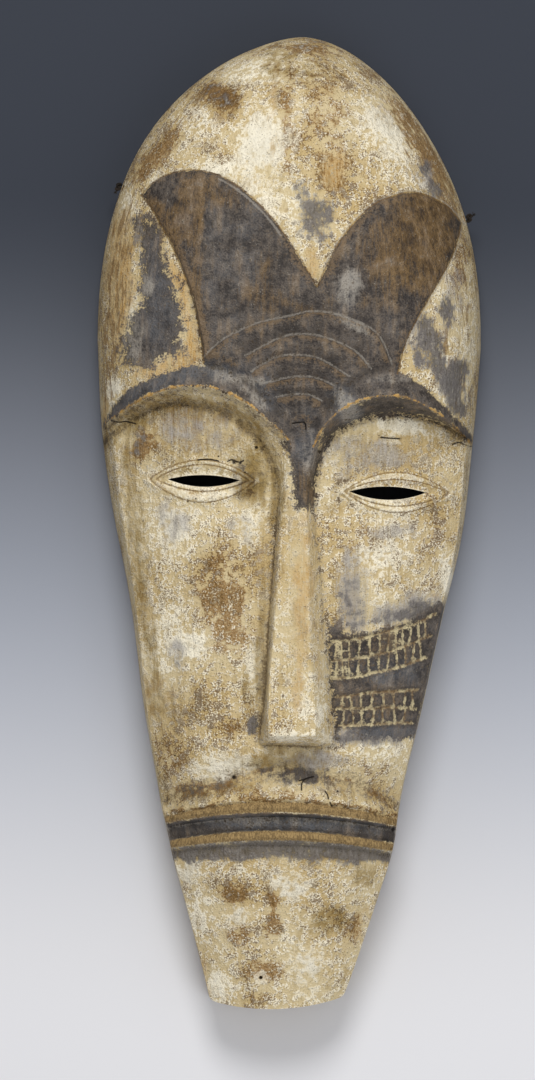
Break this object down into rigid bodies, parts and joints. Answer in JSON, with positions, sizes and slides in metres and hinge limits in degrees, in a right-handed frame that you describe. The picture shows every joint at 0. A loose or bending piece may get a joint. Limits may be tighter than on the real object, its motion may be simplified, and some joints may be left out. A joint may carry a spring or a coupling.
{
  "type": "fang mask",
  "caption": "Long carved wooden face mask with a domed forehead, thin nose, arched brows, slit eyes and whitened face, hollow behind, lying on its rim.",
  "frame": {"origin": "under the middle of the mask, in the plane of the flat rim that it lies on", "axes": "+Z out of the face, +Y towards the crown, +X to the right of whoever looks at the face"},
  "size_m": [0.246, 0.623, 0.1075],
  "materials": {
    "painted_wood": "worn white clay over light wood, matt, with dark brows and rubbed ochre edges",
    "cord_fibre": "thin twisted plant fibre, dark with age, matt"
  },
  "bodies": {
    "root": {"mask": "painted_wood", "hanging_cord": "cord_fibre", "knot_left": "cord_fibre", "knot_right": "cord_fibre"}
  },
  "joints": []
}
